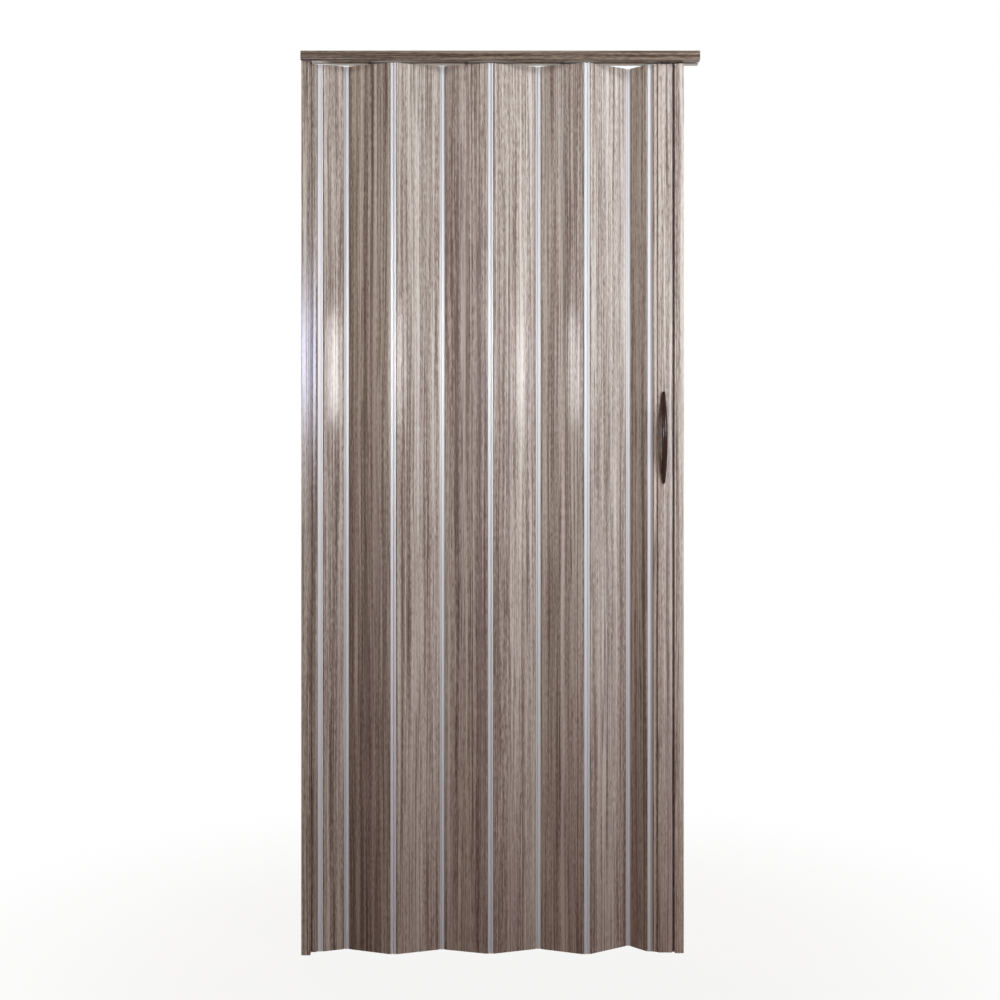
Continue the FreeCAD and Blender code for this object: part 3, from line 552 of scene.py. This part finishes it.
# lamellae
def lamellaOutline(width):
    half, bend = lamella["thickness"] / 2, lamella["round"]
    neck, bead = lamella["neck"], lamella["bead"]
    near, far = lamella["shoulder"], width - lamella["shoulder"]
    slip = math.asin(neck / bead)

    def corner(x, y, quarter):
        start = quarter * quarterTurn
        return arc((x, y), bend, start, start + quarterTurn, lamella["roundSteps"])

    points = [Vector((near, -neck))]
    points += corner(near + bend, bend - half, 2)
    points += corner(far - bend, bend - half, 3)
    points += [Vector((far, -neck))]
    points += arc((width, 0), bead, slip - halfTurn, halfTurn - slip, lamella["beadSteps"])
    points += [Vector((far, neck))]
    points += corner(far - bend, half - bend, 0)
    points += corner(near + bend, half - bend, 1)
    points += [Vector((near, neck))]
    points += arc((0, 0), bead, slip, fullTurn - slip, lamella["beadSteps"])
    return points


def makeLamella(panel):
    width, place, turn = panelWidth(panel), nearBead(panel), panelTurn(panel)
    count = lamella["halfCells"] if isHalf(panel) else lamella["cells"]
    start = lamella["shoulder"] + lamella["edge"]
    wide = (width - 2 * start - (count - 1) * lamella["rib"]) / count
    middle = place + alongPanel(panel, width / 2)
    # painted light: the last panel gets a lighter film tone
    finish = woodFilm(f"film.panel_{panel}", (middle.x, middle.y, 0), (0, 0, turn),
                      panel * lamella["seedStep"] + lamella["seed"],
                      tone=lamella["lastPanelPaintedLight"] if panel == panelCount else 0.0)
    piece = extrude(f"lamella_{panel}", lamellaOutline(width), {
        "Cells": count, "First Cell": start + wide / 2, "Cell Pitch": wide + lamella["rib"],
        "Cell Width": wide, "Cell Height": lamella["thickness"] - 2 * lamella["face"],
        "Length": leafHigh - leafLow, "Place": (place.x, place.y, leafLow), "Turn": turn,
        "Finish": finish})
    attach(piece, f"panel_{panel}")
    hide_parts(f"panel_{panel}")


for panel in range(1, panelCount + 1):
    makeLamella(panel)
print("lamellae:", panelCount)


# hinge strips: two clips on one soft middle between the panels, drawn in the pose they stand in
def clipOutline(bead, hinge, mouth):
    toward = heading(bead, hinge)
    root = math.asin(strip["web"] / strip["wall"])
    low = mouth - strip["gape"]
    while low < toward + root:
        low += fullTurn
    high = low + 2 * strip["gape"]
    points = arc(bead, strip["wall"], toward + root, low, strip["wallSteps"])
    points += arc(bead, strip["bore"], low, high - fullTurn, strip["boreSteps"])
    points += arc(bead, strip["wall"], high, toward + fullTurn - root, strip["wallSteps"])
    return points


def makeStrip(number, finish):
    hinge, left, right = hinges[number], farBead(number - 1), nearBead(number)
    toLeft, toRight = heading(hinge, left), heading(hinge, right)
    root = math.asin(strip["web"] / strip["soft"])

    def softSide(start, stop):
        while stop < start:
            stop += fullTurn
        return arc(hinge, strip["soft"], start, stop, strip["softSteps"])

    points = clipOutline(left, hinge, panelTurn(number - 1) + halfTurn)
    points += softSide(toLeft + root, toRight - root)
    points += clipOutline(right, hinge, panelTurn(number))
    points += softSide(toRight + root, toLeft - root)
    piece = extrude(f"hinge_strip_{number}", points, {
        "Cells": 0, "Length": leafHigh - leafLow, "Place": (0, 0, leafLow), "Turn": 0.0,
        "Finish": finish})
    across = (right - left).normalized() * strip["bend"]
    start, stop = hinge - across, hinge + across
    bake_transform(piece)
    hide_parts(f"strip_{number}_left", f"strip_{number}_right")


palePlastic = stripPlastic("pale_strip")
for number in range(2, panelCount + 1):
    makeStrip(number, palePlastic)
print("hinge strips:", panelCount - 1)


def coat(node, finish):
    node.data.materials.clear()
    node.data.materials.append(finish)


# bow handles
bow = {
    "length": 0.208,
    "width": 0.0126,
    "tipWidth": 0.0065,
    "reach": 0.026,
    "thickness": 0.009,
    "tip": 0.003,
    "foot": 0.026,
    "stations": 72,
    "ring": 36,
    "crown": 2.5,           # roundness of the outer side
    "seat": 4.5,            # roundness of the inner side
    "taper": 4.5,           # steepness of the rounding at the ends
    "endWidth": 0.55,       # share of the width left there
    "endDepth": 0.4,        # share of the depth left there
    "screwInset": 0.019,
    "sinkRadius": 0.0032,
    "sinkFloor": 0.005,
    "sinkTop": 0.03,
    "sinkSides": 24,
    "sharp": math.radians(40),
}


def bulge(half, rise, z):
    radius = (half * half + rise * rise) / (2 * rise)
    return math.sqrt(max(radius * radius - z * z, 0)) - (radius - rise)


# quads between two rings of vertices that follow one another
def band(first, count):
    steps = [(first + step, first + (step + 1) % count) for step in range(count)]
    return [(a, b, b + count, a + count) for a, b in steps]


def bowMesh(name, out):
    half = bow["length"] / 2
    foot, inner = half - bow["foot"], bow["reach"] - bow["thickness"]
    middle = (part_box(name)[0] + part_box(name)[1]) / 2
    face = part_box("lead_stile")[0 if out < 0 else 1].y
    endWidth, endDepth, ring = bow["endWidth"], bow["endDepth"], bow["ring"]
    verts, faces = [], []
    for station in range(bow["stations"] + 1):
        z = half * math.sin(math.pi * (station / bow["stations"] - 0.5))
        top = bow["tip"] + bulge(half, bow["reach"] - bow["tip"], z)
        low = bulge(foot, inner, z) if abs(z) < foot else 0.0
        wide = bow["tipWidth"] / 2 + bulge(half, (bow["width"] - bow["tipWidth"]) / 2, z)
        close = min(1.0, math.sqrt(max(1 - abs(z) / half, 0)) * bow["taper"])
        wide *= endWidth + (1 - endWidth) * close
        top = low + (top - low) * (endDepth + (1 - endDepth) * close)
        centre, thick = (top + low) / 2, (top - low) / 2
        for step in range(ring):
            angle = fullTurn * step / ring
            c, s = math.cos(angle), math.sin(angle)
            power = 2 / (bow["crown"] if s > 0 else bow["seat"])
            x = wide * math.copysign(abs(c) ** power, c)
            y = centre + thick * math.copysign(abs(s) ** power, s)
            verts.append((middle.x + x * out, face + y * out, middle.z + z))
    for station in range(bow["stations"]):
        faces += band(station * ring, ring)
    faces.append(tuple(range(ring))[::-1])
    faces.append(tuple(range(len(verts) - ring, len(verts))))
    mesh = bpy.data.meshes.new(name)
    mesh.from_pydata(verts, [], faces)
    mesh.validate()
    return mesh, middle, face


def sinkScrews(piece, middle, face):
    drop = bow["length"] / 2 - bow["screwInset"]
    count = bow["sinkSides"]
    verts, faces = [], []
    for way in (-1, 1):
        first = len(verts)
        circle = arc((middle.x, middle.z + way * drop), bow["sinkRadius"], 0, fullTurn, count)
        for y in (face + bow["sinkFloor"], face + bow["sinkTop"]):
            verts += [(corner.x, y, corner.y) for corner in circle[:-1]]
        faces += [quad[::-1] for quad in band(first, count)]
        faces.append(tuple(range(first, first + count)))
        faces.append(tuple(range(first + count, first + 2 * count))[::-1])
    cutter = addObject("sinks", bpy.data.meshes.new("sinks"))
    cutter.data.from_pydata(verts, [], faces)
    cut = piece.modifiers.new("sinks", "BOOLEAN")
    cut.object, cut.operation, cut.solver = cutter, "DIFFERENCE", "EXACT"
    mesh = modifiedMesh(piece)
    piece.modifiers.remove(cut)
    bpy.data.objects.remove(cutter)
    piece.data = mesh


def makeHandle(name, out, finish):
    mesh, middle, face = bowMesh(name, out)
    piece = addObject("bow_" + name, mesh)
    if out > 0:
        sinkScrews(piece, middle, face)
    coat(piece, finish)
    piece.data.set_sharp_from_angle(angle=bow["sharp"])
    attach(piece, "lead")
    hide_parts(name)


darkGloss = plainFinish("dark_gloss")
makeHandle("handle_front", -1, darkGloss)
makeHandle("handle_rear", 1, darkGloss)
print("handles: 2")


# finishes of the frame's own pieces
uprights = {
    "wall_channel": {"seed": 2.9, "tone": 0.11},
    "fixed_stile": {"seed": 7.4, "tone": 0.0},
    "lead_stile": {"seed": 13.1, "tone": 0.085},
    "lead_channel": {"seed": 17.6, "tone": 0.08},
}
for name, look in uprights.items():
    low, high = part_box(name)
    middle = ((low.x + high.x) / 2, 0, 0)
    coat(nodes[name], woodFilm("film." + name, middle, (0, 0, 0), **look))

trackFilm = {
    "place": (0, 0, -0.009),
    "turn": (0, quarterTurn, 0),
    "seed": 61.0,
    "scale": (1, 0.3, 1),
    "endAxis": "X",
    "contrast": 1.3,
    "stain": (0.44, 0.39, 0.34),
}
lipMargin = 0.0005
lipDepth = -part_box("top_track")[0].z - lipMargin
coat(nodes["top_track"], woodFilm("film.top_track", under=lipDepth, **trackFilm))

nylon, acetal, zinc = (plainFinish(name) for name in (
    "black_nylon", "roller_acetal", "zinc_steel"))
# by the start of the name; a later entry wins
plain = {
    "strip_": palePlastic,
    # the last strip's film edge carries painted shade
    "strip_9": stripPlastic("edged_shaded_strip", stripLook["filmFrom"]),
    "carriage_": nylon,
    "plug_": nylon,
    "wheels_": acetal,
    "axle_": zinc,
    "pivot_": zinc,
    "handle_screws": zinc,
}
for name, node in nodes.items():
    for start, finish in plain.items():
        if name.startswith(start):
            coat(node, finish)
print("frame finishes:", len(plain) + len(uprights) + 1)


# floor, light and camera
studio = {
    "floorSize": 7.0,
    "floorColour": (0.38, 0.25, 0.18, 1),
    "shadowShare": 0.10,
    "shadowReach": 1.6,
    "shadowFade": (1.0, 0.3),
    "ambient": 0.02,
    "ambientColour": (1.0, 0.72, 0.55, 1),
    "white": {"Color": (1, 1, 1, 1), "Strength": 1.0},
}
paleBlue, amber = (0.95, 1.0, 1.04), (1.0, 0.76, 0.55)
ember, skyBlue = (1.0, 0.25, 0.08), (0.62, 0.70, 1.0)
# a lamp that is not mirrored only lights, and one that does not light is only mirrored
lamps = {
    "key": {
        "place": (1.38, -1.64, -0.86), "aim": (0.255, 0.004, 1.384), "size": (1.3, 0.6),
        "watts": 58, "colour": paleBlue, "mirrored": False},
    "head": {
        "place": (1.5, -1.9, 1.0), "aim": (0.0, 0.0, 0.6), "size": (0.7, 0.5),
        "watts": 40, "colour": paleBlue, "mirrored": False},
    "fill": {
        "place": (-2.0, -2.2, -0.5), "aim": (0.0, 0.0, 3.2), "size": (1.2, 0.8),
        "watts": 30, "colour": amber, "mirrored": False},
    "low": {
        "place": (0.9, -2.2, -1.9), "aim": (0.0, 0.0, -2.0), "size": (0.8, 0.3),
        "watts": 5, "colour": ember, "mirrored": False},
    "window_right": {
        "place": (-0.098, -0.42, -0.68), "aim": (-0.375, 0.0, -0.70), "size": (0.09, 0.26),
        "watts": 7, "lights": False},
    "window_far": {
        "place": (0.635, -0.70, -0.68), "aim": (0.06, 0.0, -0.70), "size": (0.03, 0.26),
        "watts": 5, "lights": False},
    "window_left": {
        "place": (-0.84, -3.0, -0.50), "aim": (-0.44, 0.0, -0.7), "size": (0.12, 0.44),
        "watts": 108, "colour": skyBlue, "lights": False},
    "top": {
        "place": (0.0, 0.45, 1.5), "aim": (0.0, 0.05, 0.0), "size": (1.2, 0.5),
        "watts": 34, "mirrored": False},
    "back": {
        "place": (-1.4, 2.6, -0.5), "aim": (0.0, 0.0, -0.9), "size": (1.4, 1.4),
        "watts": 62},
}
camera = {
    "place": (-0.0006, -3.321, -0.894),
    "lens": 52.98,
    "sensor": 36,
    "shift": -0.05,
}


# 1 for the rays that see the white background
def whiteRays(bench):
    seen, mirrored, through = (bench.node("ShaderNodeLightPath", out=f"Is {ray} Ray")
                               for ray in ("Camera", "Glossy", "Transmission"))
    return seen.highest(mirrored.highest(through))


def makeFloor():
    half, z = studio["floorSize"] / 2, cadBox[0][2]
    corners = [(-half, -half, z), (half, -half, z), (half, half, z), (-half, half, z)]
    mesh = bpy.data.meshes.new("floor")
    mesh.from_pydata(corners, [], [(0, 1, 2, 3)])
    floor = addObject("floor", mesh)
    finish = Finish("pale_floor")
    finish.tree.nodes.remove(finish.shader)
    level = finish.stretch(finish.here(), (1, 1, 0))
    away = finish.node("ShaderNodeVectorMath", {0: level}, out="Value", operation="LENGTH")
    near = finish.between(away / studio["shadowReach"], *studio["shadowFade"])
    matte = finish.node("ShaderNodeBsdfDiffuse", {"Color": studio["floorColour"]})
    white = finish.node("ShaderNodeEmission", studio["white"])
    shown = finish.node("ShaderNodeMixShader", {
        0: near * studio["shadowShare"], 1: white, 2: matte})
    both = finish.node("ShaderNodeMixShader", {0: whiteRays(finish), 1: matte, 2: shown})
    finish.feed(finish.tree.nodes["Material Output"].inputs["Surface"], both)
    mesh.materials.append(finish.material)


def makeWorld():
    world = bpy.data.worlds.new("studio")
    world.use_nodes = True
    bpy.context.scene.world = world
    bench = Bench(world.node_tree)
    soft = bench.node("ShaderNodeBackground", {
        "Color": studio["ambientColour"], "Strength": studio["ambient"]})
    white = bench.node("ShaderNodeBackground", studio["white"])
    both = bench.node("ShaderNodeMixShader", {0: whiteRays(bench), 1: soft, 2: white})
    bench.feed(world.node_tree.nodes["World Output"].inputs["Surface"], both)


def makeLamp(name, place, aim, size, watts, colour=(1, 1, 1), mirrored=True, lights=True):
    lamp = bpy.data.lights.new(name, "AREA")
    lamp.shape, lamp.size, lamp.size_y = "RECTANGLE", size[0], size[1]
    lamp.energy, lamp.color = watts, colour
    made = addObject(name, lamp)
    made.visible_camera, made.visible_glossy, made.visible_diffuse = False, mirrored, lights
    made.location = place
    made.rotation_euler = (Vector(aim) - Vector(place)).to_track_quat("-Z", "Y").to_euler()


def makeCamera():
    data = bpy.data.cameras.new("camera")
    data.sensor_width, data.lens = camera["sensor"], camera["lens"]
    data.shift_y = camera["shift"]
    made = addObject("camera", data)
    made.location = camera["place"]
    made.rotation_euler = (quarterTurn, 0, 0)
    bpy.context.scene.camera = made


makeFloor()
makeWorld()
for name, look in lamps.items():
    makeLamp(name, **look)
makeCamera()
bpy.context.scene.view_settings.view_transform = "Standard"
print("studio ready")
